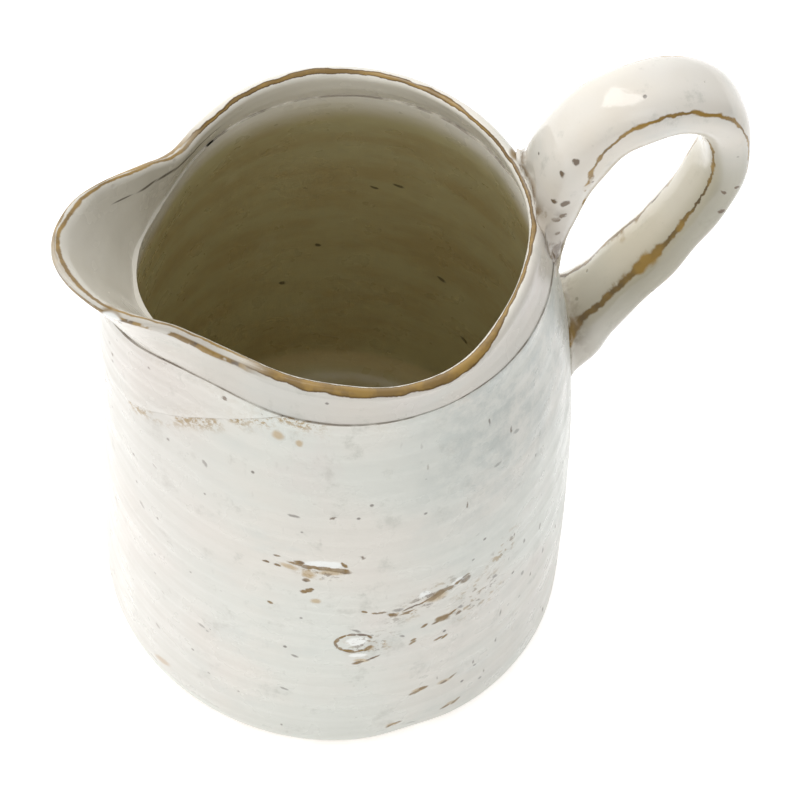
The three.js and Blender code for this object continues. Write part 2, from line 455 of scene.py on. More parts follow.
def make_collar():
    away = np.abs(turns)
    angle = np.radians(turns)
    wobble = 0.25 * np.sin(7 * angle + 1) + 0.18 * np.sin(13 * angle + 4) - 0.35
    top = crest_height(away) + wobble
    shoulder = top - RIM_ROUND
    half = RIM_WALL / 2
    skin = Skin()

    def ring(height, offset, is_inside, from_seam, from_crest):
        radius = collar_radius(turns, height, offset)
        uneven = 0.5 * relief(turns + (60 if is_inside else 0), height)
        if offset < 0:
            folds = np.sin(0.42 * turns + 0.12 * (height - SEAM_Z))
            uneven = uneven + 0.3 * folds * (1 - smoothstep(away, 25, 45))
            from_seam = from_seam + inner_fade(turns)
        inset = edge_inset(from_seam, turns) * np.sign(offset)
        bend = 0.5 * np.sin(np.pi * np.clip((height - SEAM_Z) / (top - SEAM_Z), 0, 1))
        marks = {"inside": float(is_inside), "seam": np.minimum(from_seam, FAR_FROM_SEAM)}
        skin.add(place(turns, radius + uneven - inset - bend, height), rim=from_crest, away=away, **marks)

    climb = steps_from_edge(1, 0.012, 1.25, 0.05)
    arc = 1.2 * (half + RIM_ROUND) / 2 * math.pi / 2
    for share in climb:
        height = mix(SEAM_Z, shoulder, share)
        ring(height, half, False, height - SEAM_Z, arc + shoulder - height)
    for share in np.linspace(0, 1, 27)[1:-1]:
        turn_over = math.pi * share
        height = shoulder + RIM_ROUND * math.sin(turn_over)
        ring(height, half * math.cos(turn_over), share, height - SEAM_Z, arc * (1 - 2 * share))
    for share in climb[::-1]:
        height = mix(SEAM_Z, shoulder, share)
        ring(height, -half, True, height - SEAM_Z, -arc - shoulder + height)
    for offset in (-1.2, 0.01, 1.2):
        ring(SEAM_Z + np.zeros(AROUND), offset, offset < 0, 0.0, 20.0)
    return skin.build("glazed_collar")


# ---- The handle ----

handle_low, handle_high = corners("handle_upper_root", "handle_strap", "handle_lower_root")


def handle_path():
    """Points along the strap's middle and how far along each one is, from 0 to 1."""
    size = handle_high - handle_low
    knots = [(handle_low[0] + x * size[0], handle_low[2] + z * size[2]) for x, z in HANDLE_LINE]
    knots = np.array([2 * np.array(knots[0]) - knots[1], *knots, 2 * np.array(knots[-1]) - knots[-2]])
    points = []
    for before, start, end, after in zip(knots, knots[1:], knots[2:], knots[3:]):
        gaps = [np.hypot(*(b - a)) ** 0.5 for a, b in ((before, start), (start, end), (end, after))]
        first = (start - before) / gaps[0] - (end - before) / (gaps[0] + gaps[1]) + (end - start) / gaps[1]
        last = (end - start) / gaps[1] - (after - start) / (gaps[1] + gaps[2]) + (after - end) / gaps[2]
        first, last = first * gaps[1], last * gaps[1]
        t = np.linspace(0, 1, 60, endpoint=False)[:, None]
        points.append(start + first * t + (3 * (end - start) - 2 * first - last) * t**2
                      + (2 * (start - end) + first + last) * t**3)
    points = np.vstack([*points, knots[-2]])
    length = np.concatenate([[0], np.cumsum(np.hypot(*np.diff(points, axis=0).T))])
    return points, length / length[-1], length[-1]


path_points, path_share, HANDLE_LENGTH = handle_path()
half_thickness = smooth_curve([row[0] for row in HANDLE_SECTION], [row[1] for row in HANDLE_SECTION])
half_width = smooth_curve([row[0] for row in HANDLE_SECTION], [row[2] for row in HANDLE_SECTION])


def path_at(share):
    x = np.interp(share, path_share, path_points[:, 0])
    z = np.interp(share, path_share, path_points[:, 1])
    return x, z


def soft_power(value):
    return np.sign(value) * np.abs(value) ** STRAP_SQUARENESS


def handle_surface(along, around, scale=1.0):
    """Points of the strap's skin. around is in radians: 0 faces out, a quarter turn the near side."""
    x, z = path_at(along)
    ahead = path_at(np.minimum(along + 0.01, 1))
    behind = path_at(np.maximum(along - 0.01, 0))
    run, climb = ahead[0] - behind[0], ahead[1] - behind[1]
    reach = np.hypot(run, climb)
    run, climb = run / reach, climb / reach
    out = soft_power(np.cos(around)) * half_thickness(along) * scale
    out = out * (1 - 0.4 * smoothstep(along, 0.93, 1) * (np.cos(around) > 0))
    across = soft_power(np.sin(around)) * half_width(along) * (1 + STRAP_TAPER * np.cos(around)) * scale
    across = across * (1 - 0.22 * smoothstep(along, 0.92, 1))
    wave = 0.25 * np.sin(31 * along + 2 * around) + 0.2 * np.sin(57 * along + around + 1) - 0.3
    across = across + wave * np.sin(around)
    out = out + 0.8 * wave * np.cos(around)
    return np.stack([x - climb * out, -across, z + run * out], axis=-1)


def round_wall(points):
    """Turn, radius and height of points, and the rim's height at their turn."""
    turn = np.degrees(np.arctan2(-points[..., 1], -points[..., 0]))
    return turn, np.hypot(points[..., 0], points[..., 1]), points[..., 2], crest_height(np.abs(turn))


def wall_distance(points):
    """Distance of points outside the pitcher's wall or above its rim."""
    turn, radius, height, crest = round_wall(points)
    on_collar = collar_radius(turn, np.minimum(height, crest), RIM_WALL / 2)
    wall = np.where(height > SEAM_Z, on_collar, wall_radius(turn, np.minimum(height, SEAM_Z), 0))
    return np.maximum(radius - wall, height - crest)


def keep_off_wall(points):
    """Moves points that would reach through the wall or over the mouth back to just under its face."""
    turn, radius, height, crest = round_wall(points)
    collar = collar_radius(turn, np.minimum(height, crest), RIM_WALL / 2) - 1.5
    bed = mix(collar, crest_radius(np.abs(turn)), smoothstep(height, crest - 3, crest))
    bed = np.where(height > SEAM_Z, bed, wall_radius(turn, np.minimum(height, SEAM_Z), 1.5))
    grown = np.maximum(radius, bed) / radius
    return points * np.stack([grown, grown, np.ones_like(grown)], axis=-1)


def make_handle(name, start, end, fillet):
    """A stretch of the strap. Near the wall its skin flares out, where the clay was smoothed on."""
    count = int((end - start) * HANDLE_LENGTH / STRAP_STEP)
    along = np.linspace(start, end, count)[:, None]
    around = np.linspace(0, 2 * np.pi, STRAP_AROUND, endpoint=False)[None]
    grid = handle_surface(along, around)
    centre = handle_surface(along, around, 0.0)
    clearance = np.clip(wall_distance(grid), 0, WALL_REACH)
    distance = np.minimum(clearance, fillet)
    push = fillet - np.sqrt(fillet**2 - (fillet - distance) ** 2)
    outward = grid - centre
    normal = grid * np.array([1, 1, 0])
    normal /= np.linalg.norm(normal, axis=-1, keepdims=True)
    outward -= normal * np.sum(outward * normal, axis=-1, keepdims=True)
    outward /= np.maximum(np.linalg.norm(outward, axis=-1, keepdims=True), 1e-6)
    push = push * (0.55 - 0.45 * np.clip(-outward[..., 2], 0, 1))
    push = push * (1 - 0.4 * smoothstep(along, 0.94, 1))
    grid = keep_off_wall(grid + push[..., None] * outward)
    caps = []
    for row in (grid[0], grid[-1]):
        middle = row.mean(axis=0)
        caps.append([mix(middle, row, share) for share in (0.3, 0.8)])
    grid = np.concatenate([caps[0], grid, caps[1][::-1]])
    marks = {
        "along": np.pad(along[:, 0], 2, mode="edge")[:, None],
        "out": np.cos(around),
        "near": np.sin(around),
        "wall": np.pad(clearance, ((2, 2), (0, 0)), mode="edge"),
    }
    return lattice(name, grid, loop_rows=False, marks=marks, poles=True, turned=True)


# ---- Glaze ----


def tint(red, green, blue):
    """A colour given as 0 to 255 screen values."""
    def linear(value):
        value /= 255
        return value / 12.92 if value <= 0.04045 else ((value + 0.055) / 1.055) ** 2.4
    return (linear(red), linear(green), linear(blue), 1.0)


class Glaze:
    """Builds a node material step by step."""

    def __init__(self, name):
        self.material = bpy.data.materials.new(name)
        self.material.use_nodes = True
        self.tree = self.material.node_tree
        self.shader = self.tree.nodes["Principled BSDF"]
        self.place = self.tree.nodes.new("ShaderNodeTexCoord").outputs["Object"]

    def connect(self, value, socket):
        if isinstance(value, bpy.types.NodeSocket):
            self.tree.links.new(value, socket)
        else:
            socket.default_value = value

    def math(self, operation, first, second=0.0, third=0.0):
        node = self.tree.nodes.new("ShaderNodeMath")
        node.operation = operation
        for value, socket in zip((first, second, third), node.inputs):
            self.connect(value, socket)
        return node.outputs[0]

    def times(self, first, second):
        return self.math("MULTIPLY", first, second)

    def vector(self, operation, first, second):
        node = self.tree.nodes.new("ShaderNodeVectorMath")
        node.operation = operation
        self.connect(first, node.inputs[0])
        self.connect(second, node.inputs[3 if operation == "SCALE" else 1])
        return node.outputs["Value" if operation == "LENGTH" else "Vector"]

    def noise(self, scale, detail=3.0, roughness=0.5, where=None, stretch=None, color=False):
        node = self.tree.nodes.new("ShaderNodeTexNoise")
        node.inputs["Scale"].default_value = scale
        node.inputs["Detail"].default_value = detail
        node.inputs["Roughness"].default_value = roughness
        spot = where or self.place
        if stretch:
            spot = self.vector("MULTIPLY", spot, stretch)
        self.connect(spot, node.inputs["Vector"])
        return node.outputs["Color" if color else "Fac"]

    def cells(self, scale, where=None):
        """Distance to the nearest of many scattered points, and two random values for each."""
        node = self.tree.nodes.new("ShaderNodeTexVoronoi")
        node.inputs["Scale"].default_value = scale
        self.connect(where or self.place, node.inputs["Vector"])
        split = self.tree.nodes.new("ShaderNodeSeparateColor")
        self.connect(node.outputs["Color"], split.inputs[0])
        return node.outputs["Distance"], split.outputs[0], split.outputs[1]

    def attribute(self, name):
        node = self.tree.nodes.new("ShaderNodeAttribute")
        node.attribute_name = name
        return node.outputs["Fac"]

    def fade(self, value, low, high, start=0.0, end=1.0):
        """start where value is low, end where it is high, and smooth between."""
        node = self.tree.nodes.new("ShaderNodeMapRange")
        node.interpolation_type = "SMOOTHSTEP"
        for item, socket in zip((value, low, high, start, end), node.inputs):
            self.connect(item, socket)
        return node.outputs[0]

    def blend(self, share, first, second):
        node = self.tree.nodes.new("ShaderNodeMix")
        node.data_type = "RGBA"
        self.connect(share, node.inputs[0])
        self.connect(first, node.inputs[6])
        self.connect(second, node.inputs[7])
        return node.outputs[2]

    def split_place(self):
        node = self.tree.nodes.new("ShaderNodeSeparateXYZ")
        self.connect(self.place, node.inputs[0])
        return node.outputs

    def spot(self, where, centre, size, rotation):
        """Distance from the middle of a small leaning ellipsoid: 1 on its surface."""
        node = self.tree.nodes.new("ShaderNodeMapping")
        node.vector_type = "TEXTURE"
        self.connect(where, node.inputs["Vector"])
        node.inputs["Location"].default_value = centre
        node.inputs["Rotation"].default_value = rotation
        node.inputs["Scale"].default_value = size
        return self.vector("LENGTH", node.outputs[0], (0.0, 0.0, 0.0))

    def finish(self, color, height, roughness):
        self.connect(color, self.shader.inputs["Base Color"])
        self.connect(roughness, self.shader.inputs["Roughness"])
        self.shader.inputs["IOR"].default_value = 1.5
        bump = self.tree.nodes.new("ShaderNodeBump")
        bump.inputs["Strength"].default_value = 0.4
        bump.inputs["Distance"].default_value = 0.0006
        self.connect(height, bump.inputs["Height"])
        self.connect(bump.outputs[0], self.shader.inputs["Normal"])
        return self.material

    def finish_glossy(self, color, pits, smooth, rough):
        """Ends a glaze with fine grain, sunken pits and a sheen that drifts between two roughnesses."""
        height = self.math("SUBTRACT", self.noise(95, 3), self.times(pits, 0.5))
        return self.finish(color, height, self.fade(self.noise(70, 3), 0.3, 0.7, smooth, rough))


# Colours of the glaze, with some that stand for painted shade and painted highlights.
MILK = tint(209, 210, 202)
CREAM = tint(213, 209, 200)
COOL = tint(192, 198, 193)
ROSE = tint(211, 200, 194)
RIM_MILK = tint(197, 195, 187)
RIM_CREAM = tint(203, 197, 187)
PORCELAIN = tint(216, 212, 204)
IVORY = tint(216, 208, 194)
OLIVE = tint(197, 189, 147)
OLIVE_DEEP = tint(186, 170, 124)
GOLD = tint(120, 90, 20)
AMBER = tint(148, 114, 34)
BRONZE = tint(70, 48, 16)
TAN = tint(182, 160, 124)
UMBER = tint(92, 70, 44)
SLATE = tint(118, 112, 104)
SMUDGE = tint(172, 172, 162)
WHITE = tint(232, 233, 229)
OLIVE_MILK = tint(206, 200, 166)
CORNER_HIGHLIGHT = tint(214, 194, 152)
INSIDE_SPOUT = tint(206, 201, 188)
INSIDE_RIM = tint(240, 236, 225)
BLUE_GREY = tint(163, 170, 166)
SEAM = tint(104, 84, 62)
FLECK = tint(70, 62, 36)
CREASE_SHADE = tint(84, 74, 62)
SHADE_KHAKI = tint(146, 141, 118)
STRAW = tint(186, 178, 152)
JOIN_SHADE = tint(124, 108, 80)
PALE_UMBER = tint(118, 96, 64)
BARE_CLAY = tint(190, 172, 146)
BARE_CLAY_DARK = tint(158, 138, 112)

# ---- Marks in the glaze, with painted shade and a painted highlight ----

# A mark is its turn, height, length, thickness and lean. Each group grows by rule from these places.
CHIP = (71, 117)
SCUFF_START, SCUFF_BEND, SCUFF_END = (82, 91), (92, 87), (109, 96)
BLOTCH = (100, 92)
LOOP = (80, 72)
PITS = [(81, 60), (101, 76), (96, 32), (103, 31), (90, 11), (106, 12)]
FAR_CHIPS = [(-64, 126), (-105, 75), (-138, 110)]
LIP_GLINT = (16, 211, 5.4, 2.6, -8)
HANDLE_DROP = (-173, 200, 3.8, 3.0, 20)

dice = np.random.default_rng(11)


def stroke_row(start, end, count, length, thickness, stray):
    """Marks along a line over the wall, each leaning about as the line does."""
    across = math.radians(end[0] - start[0]) * FOOT_RADIUS
    lean = math.degrees(math.atan2(end[1] - start[1], across))
    marks = []
    for share in np.linspace(0, 1, count):
        turn, height = mix(np.array(start), np.array(end), share) + dice.uniform(-stray, stray, 2)
        long, thick = np.array([length, thickness]) * dice.uniform(0.65, 1.35, 2)
        marks.append((turn, height, long, thick, lean + dice.uniform(-14, 14)))
    return marks


def stroke_loop(centre, half_width, half_height, start, end, count):
    """Marks round an open loop, between two angles measured up from its right end."""
    marks = []
    for angle in np.radians(np.linspace(start, end, count)):
        turn = centre[0] + half_width * math.cos(angle)
        height = centre[1] + half_height * math.sin(angle)
        lean = math.degrees(math.atan2(half_height * math.cos(angle), -half_width * math.sin(angle)))
        long, thick = dice.uniform(2.6, 4.4), dice.uniform(0.8, 1.5)
        marks.append((turn, height, long, thick, math.remainder(lean, 180)))
    return marks


def scatter(count, turn, height, length, thickness, lean):
    """Marks strewn over a patch of wall. Each value is drawn between the two that are given."""
    low, high = np.array([turn, height, length, thickness, lean]).T
    return [tuple(dice.uniform(low, high)) for _ in range(count)]


def beside(centre, turn, height, length, thickness, lean):
    """One mark, placed from the middle of its group."""
    return (centre[0] + turn, centre[1] + height, length, thickness, lean)


# The T-shaped chip: a lip of brown under a bare white bar, with a stem of blots below it.
BROWN_MARKS = stroke_row((65, 116.5), (76, 115.5), 6, 4.8, 1.5, 0.4)
BROWN_MARKS += [beside(CHIP, 5.5, 1.5, 3.2, 1.1, -60), beside(CHIP, -5.5, 0.5, 3.2, 2.2, -5)]
BROWN_MARKS += scatter(4, (67, 69.5), (99, 113), (2.0, 3.8), (1.2, 2.0), (-15, 15))
# The long scuff with its blotch, and the open loop under it.
BROWN_MARKS += stroke_row(SCUFF_START, SCUFF_BEND, 5, 2.8, 1.2, 0.8)
BROWN_MARKS += stroke_row(SCUFF_BEND, SCUFF_END, 9, 4.0, 1.0, 1.4)
BROWN_MARKS += [beside(BLOTCH, 0, 0, 6.5, 2.6, 34), beside(BLOTCH, 8, 2, 3.4, 2.4, 34)]
BROWN_MARKS += [beside(PITS[1], 1, 0, 5.0, 2.8, -20)]
BROWN_MARKS += stroke_loop(LOOP, 4.6, 5.4, 40, 315, 10)
BROWN_MARKS += scatter(6, (92, 110), (58, 80), (1.8, 3.2), (0.9, 1.4), (0, 50))
BROWN_MARKS += scatter(4, (54, 63), (90, 122), (1.6, 2.3), (0.8, 1.1), (-20, 10))
TAN_MARKS = [
    beside(CHIP, -8, -2.5, 5.2, 1.9, -16),
    beside(CHIP, -3, -5, 4.2, 3.2, -35),
    beside(CHIP, 2.5, -3, 7.4, 1.8, 4),
    beside(CHIP, -1, -20, 3.0, 2.2, 8),
    beside(BLOTCH, 0, -1, 7.0, 3.4, -6),
    (57, 177, 3.4, 3.2, 0),
    (63, 176, 2.2, 2.0, 0),
    (28, 13, 7.0, 2.2, 24),
]
for pit in PITS:
    BROWN_MARKS += stroke_row(pit, (pit[0] + 3, pit[1] + 1.5), 2, 3.6, 1.1, 0.9)
    TAN_MARKS.append(beside(pit, 1, 0.5, 4.2, 1.9, -8))
PALE_MARKS = [
    beside(CHIP, 0.5, 1, 11.5, 3.4, 6),
    beside(LOOP, 0.5, 1, 6.4, 4.0, 10),
    beside(LOOP, 1, -8, 5.4, 1.8, 0),
    beside(BLOTCH, 6, 3, 4.4, 2.8, 22),
    beside(BLOTCH, -3, 3, 3.4, 3.4, 50),
]
GREY_MARKS = scatter(17, (18, 142), (16, 158), (1.6, 3.4), (0.9, 1.5), (-66, 10))
for chip in FAR_CHIPS:
    BROWN_MARKS += stroke_row(chip, (chip[0] + 4, chip[1] + 3), 3, 4.0, 1.5, 1.6)
    TAN_MARKS.append(beside(chip, 0, 0, 7.0, 2.8, -10))
# Flecks and drops on the inner face.
INNER_MARKS = scatter(6, (-155, -82), (20, 172), (1.8, 3.6), (0.9, 1.6), (-10, 50))
# A painted highlight on the lip, the white glint of a glossy chip, and a thick drop beside the handle, each
# in a brown pool.
RIM_CHIP_AND_GLINT = [LIP_GLINT, HANDLE_DROP]
RIM_POOLS = [(turn, height, long + 2, thick + 1.6, lean) for turn, height, long, thick, lean in RIM_CHIP_AND_GLINT]
RIM_POOLS.append(beside(HANDLE_DROP, 7, 1, 7.0, 2.6, -20))
# Painted shade: a dark line along the crease that runs up inside the spout on its far side, thickest at its
# middle.
CREASE_SHADE_MARKS = [
    (mix(-54, -20, share), 194.6 + 8.4 * share**1.6, 9.5,
     0.45 + 0.55 * math.sin(math.pi * share), 2 + 16 * share)
    for share in np.linspace(0, 1, 6)
]
# Scratched patches, where strokes of brown show through.
SCUFF_MARKS = [
    (97, 91, 24, 8, 32),
    (112, 79, 18, 16, 20),
    (120, 96, 16, 8, 50),
    (84, 71, 14, 10, 15),
    (70, 113, 12, 5, -10),
]
# The order that wall_glaze lays them in is its own: pale, tan, scuff, brown and grey.
WALL_MARKS = {
    "scuff": SCUFF_MARKS,
    "pale": PALE_MARKS,
    "tan": TAN_MARKS,
    "brown": BROWN_MARKS,
    "grey": GREY_MARKS,
}


def wall_spots(glaze, where, marks, inside=False, softness=0.35):
    """One mask for some marks laid on the wall."""
    nearest = 9.0
    for turn, height, length, thickness, lean in marks:
        if height > SEAM_Z:
            face = RIM_WALL / 2 * (-1 if inside else 1)
            radius = float(collar_radius(np.array(turn), np.array(height), face))
        else:
            radius = float(wall_radius(np.array(turn), np.array(height), WALL if inside else 0.3))
        centre = place(turn, radius, height) * METRE
        size = np.array([length * 0.55, 3.0, thickness * 0.62]) * METRE
        rotation = (0.0, -math.radians(lean), math.radians(turn - 90))
        nearest = glaze.math("MINIMUM", nearest, glaze.spot(where, centre, size, rotation))
    return glaze.fade(nearest, 1.0 - softness, 1.0 + softness, 1.0, 0.0)


def glaze_ground(glaze, plain=MILK, warm=CREAM, blush=0.3):
    """The plain glaze: milky white that drifts between cream, cool grey and a hint of rose."""
    drift = glaze.noise(16, 3, 0.55)
    color = glaze.blend(glaze.fade(drift, 0.40, 0.66), plain, warm)
    clouds = glaze.noise(34, 4, 0.6, stretch=(1.0, 1.0, 1.7))
    color = glaze.blend(glaze.fade(clouds, 0.52, 0.76, 0.0, 0.35), color, COOL)
    smears = glaze.noise(85, 5, 0.7, stretch=(1.0, 1.0, 0.8))
    color = glaze.blend(glaze.fade(smears, 0.56, 0.72, 0.0, 0.5), color, SMUDGE)
    rosy = glaze.noise(27, 4, 0.62, where=glaze.vector("ADD", glaze.place, (0.4, 0.2, 0.7)))
    return glaze.blend(glaze.fade(rosy, 0.55, 0.76, 0.0, blush), color, ROSE)


def glaze_specks(glaze, color):
    """Fine iron specks, and a few larger ones with a soft halo."""
    distance, chance, _ = glaze.cells(230)
    small = glaze.times(glaze.fade(distance, 0.10, 0.20, 1.0, 0.0),
                        glaze.fade(chance, 0.90, 0.93, 0.0, 0.9))
    color = glaze.blend(small, color, SLATE)
    wobble = glaze.vector("SCALE", glaze.noise(420, 2, color=True), 0.0035)
    distance, chance, _ = glaze.cells(105, where=glaze.vector("ADD", glaze.place, wobble))
    large = glaze.times(glaze.fade(distance, 0.05, 0.13, 1.0, 0.0),
                        glaze.fade(chance, 0.90, 0.92, 0.0, 0.85))
    return glaze.blend(large, color, UMBER), glaze.math("MAXIMUM", small, large)


def glaze_inside(glaze, color):
    """Inside, the glaze pools and turns olive below the collar; a lighter band round the inside corner is a
    painted highlight.
    """
    height = glaze.split_place()[2]
    streaks = glaze.noise(30, 4, 0.6, stretch=(1.0, 1.0, 2.4))
    pool = glaze.blend(glaze.fade(streaks, 0.35, 0.7), OLIVE, OLIVE_DEEP)
    smear = glaze.noise(60, 3, 0.6, stretch=(1.0, 1.0, 0.8))
    pool = glaze.blend(glaze.fade(smear, 0.62, 0.74, 0.0, 0.35), pool, OLIVE_MILK)
    # Painted highlight: a lighter cream band round the middle of the rounded corner inside.
    corner = glaze.math("ABSOLUTE", glaze.math("SUBTRACT", height, (BASE_TOP + 6) * METRE))
    pool = glaze.blend(glaze.fade(corner, 0.001, 0.004, 0.5, 0.0), pool, CORNER_HIGHLIGHT)
    edge = glaze.math("ADD", height, glaze.fade(streaks, 0.2, 0.8, -0.003, 0.003))
    pooled = glaze.fade(edge, 0.170, 0.186, 1.0, 0.0)
    milky = glaze.blend(glaze.fade(glaze.split_place()[0], -0.055, -0.02), INSIDE_SPOUT,
                        INSIDE_RIM)
    inner = glaze.blend(pooled, milky, pool)
    return glaze.blend(glaze.attribute("inside"), color, inner)


def glaze_handle_side(glaze, color):
    """Short slanting scratches and bluish mottling, thickest on the handle's side."""
    x, _, z = glaze.split_place()
    side = glaze.fade(x, -0.01, 0.035)
    mottle = glaze.times(side, glaze.fade(z, 0.10, 0.165, 0.25, 1.0))
    mottle = glaze.times(mottle, glaze.fade(glaze.noise(110, 6, 0.75), 0.38, 0.64, 0.25, 0.72))
    color = glaze.blend(mottle, color, BLUE_GREY)
    color = glaze.blend(glaze.fade(x, -0.072, -0.04, 0.35, 0.0), color, ROSE)
    turned = glaze.tree.nodes.new("ShaderNodeMapping")
    turned.inputs["Rotation"].default_value = (0.0, math.radians(32), 0.0)
    turned.inputs["Scale"].default_value = (2.4, 1.0, 0.62)
    glaze.connect(glaze.place, turned.inputs["Vector"])
    wobble = glaze.vector("SCALE", glaze.noise(380, 2, color=True), 0.0022)
    bent = glaze.vector("ADD", turned.outputs[0], wobble)
    distance, chance, size = glaze.cells(150, where=bent)
    dash = glaze.times(glaze.fade(distance, 0.08, 0.2, 1.0, 0.0), glaze.fade(chance, 0.80, 0.84))
    dash = glaze.times(dash, glaze.fade(x, -0.005, 0.03, 0.08, 0.85))
    return glaze.blend(dash, color, glaze.blend(glaze.fade(size, 0.4, 0.6), SLATE, UMBER))


# A shader can hold about 60 marks. Cells of this many degrees and millimetres stay well below that.
CELL_TURN = 18
CELL_HEIGHT = 24


def marks_in_cell(column, row):
    """The marks that touch one cell of the wall, by kind."""
    found = {}
    for kind, marks in WALL_MARKS.items():
        found[kind] = []
        for mark in marks:
            reach = 0.95 * mark[2] + 1.5
            aside = abs(mark[0] - (column + 0.5) * CELL_TURN) - CELL_TURN / 2
            above = abs(mark[1] - (row + 0.5) * CELL_HEIGHT) - CELL_HEIGHT / 2
            if math.radians(aside) * SEAM_RADIUS < reach and above < reach:
                found[kind].append(mark)
    return found


def glaze_by_cells(piece):
    """Gives each cell of the wall's outer face that has marks its own copy of the glaze."""
    mesh = piece.data
    mesh.materials.append(wall_glaze("glaze_body", {}))
    middles = np.empty(len(mesh.polygons) * 3)
    mesh.polygons.foreach_get("center", middles)
    middles = middles.reshape(-1, 3) / METRE
    turn = np.degrees(np.arctan2(-middles[:, 1], -middles[:, 0]))
    outer = np.hypot(middles[:, 0], middles[:, 1]) > wall_radius(turn, middles[:, 2], WALL / 3)
    column = np.floor(turn / CELL_TURN).astype(int)
    row = np.floor(middles[:, 2] / CELL_HEIGHT).astype(int)
    chosen = np.zeros(len(mesh.polygons), int)
    for cell in sorted(set(zip(column[outer].tolist(), row[outer].tolist()))):
        marks = marks_in_cell(*cell)
        if any(marks.values()):
            chosen[outer & (column == cell[0]) & (row == cell[1])] = len(mesh.materials)
            mesh.materials.append(wall_glaze(f"glaze_body_{len(mesh.materials)}", marks))
    mesh.polygons.foreach_set("material_index", chosen)


def seam_line(glaze, color, seam):
    """The fine dark line where two pieces were luted together, fainter where the glaze filled it."""
    filled = glaze.fade(glaze.noise(75, 3, 0.6), 0.42, 0.6, 0.08, 0.6)
    return glaze.blend(glaze.times(glaze.fade(seam, 0.05, 0.27, 1.0, 0.0), filled), color,
                       SEAM)


def wall_glaze(name, marks):
    """The wall's glaze, with the marks of one cell laid on it."""
    glaze = Glaze(name)
    color = glaze_ground(glaze)
    color, specks = glaze_specks(glaze, color)
    seam = glaze.attribute("seam")
    nudge = glaze.vector("SCALE", glaze.noise(330, 3, 0.6, color=True), 0.0016)
    where = glaze.vector("SUBTRACT", glaze.vector("ADD", glaze.place, nudge), (0.0008, 0.0008, 0.0008))
    pits = specks
    if marks.get("pale"):
        color = glaze.blend(wall_spots(glaze, where, marks["pale"], softness=0.25), color, WHITE)
    if marks.get("tan"):
        tan = wall_spots(glaze, where, marks["tan"], softness=0.45)
        color = glaze.blend(glaze.times(tan, 0.85), color, TAN)
    if marks.get("scuff"):
        rough = glaze.noise(330, 4, 0.7, stretch=(1.0, 1.0, 1.5))
        strokes = glaze.times(wall_spots(glaze, where, marks["scuff"], softness=0.7),
                              glaze.fade(rough, 0.52, 0.6))
        color = glaze.blend(glaze.times(strokes, 0.7), color,
                            glaze.blend(glaze.fade(glaze.noise(150), 0.42, 0.58), UMBER, AMBER))
    if marks.get("brown"):
        brown = wall_spots(glaze, where, marks["brown"], softness=0.3)
        patchy = glaze.fade(glaze.noise(260, 3), 0.35, 0.65, 0.75, 1.0)
        color = glaze.blend(glaze.times(brown, patchy), color,
                            glaze.blend(glaze.fade(glaze.noise(190), 0.34, 0.54), UMBER, GOLD))
        pits = glaze.math("MAXIMUM", pits, brown)
    if marks.get("grey"):
        grey = wall_spots(glaze, where, marks["grey"], softness=0.4)
        color = glaze.blend(glaze.times(grey, 0.75), color, SLATE)
    color = glaze_handle_side(glaze, color)
    crumbs = glaze.times(glaze.fade(glaze.noise(520, 4, 0.75), 0.45, 0.57),
                         glaze.fade(glaze.noise(95, 2), 0.38, 0.58))
    spout_side = glaze.times(glaze.fade(glaze.split_place()[0], -0.03, -0.018, 1.0, 0.1),
                             glaze.fade(glaze.attribute("rim"), 30, 35, 0.12, 1.0))
    near_seam = glaze.times(glaze.fade(seam, 1.5, 9.0, 1.0, 0.0), spout_side)
    crumbs = glaze.times(near_seam, glaze.times(crumbs, 0.75))
    color = glaze.blend(crumbs, color, AMBER)
    color = glaze_inside(glaze, color)
    if not any(marks.values()):
        flecks = wall_spots(glaze, where, INNER_MARKS, inside=True)
        color = glaze.blend(glaze.times(flecks, 0.8), color, FLECK)
    color = seam_line(glaze, color, seam)
    rings = glaze.noise(1.0, 2, 0.5, stretch=(30.0, 30.0, 900.0))
    grain = glaze.noise(95, 3, 0.5)
    height = glaze.math("ADD", glaze.times(rings, 0.25), glaze.times(grain, 0.7))
    height = glaze.math("SUBTRACT", height, glaze.times(pits, 0.5))
    roughness = glaze.fade(glaze.noise(70, 3), 0.3, 0.7, 0.24, 0.4)
    return glaze.finish(color, height, roughness)


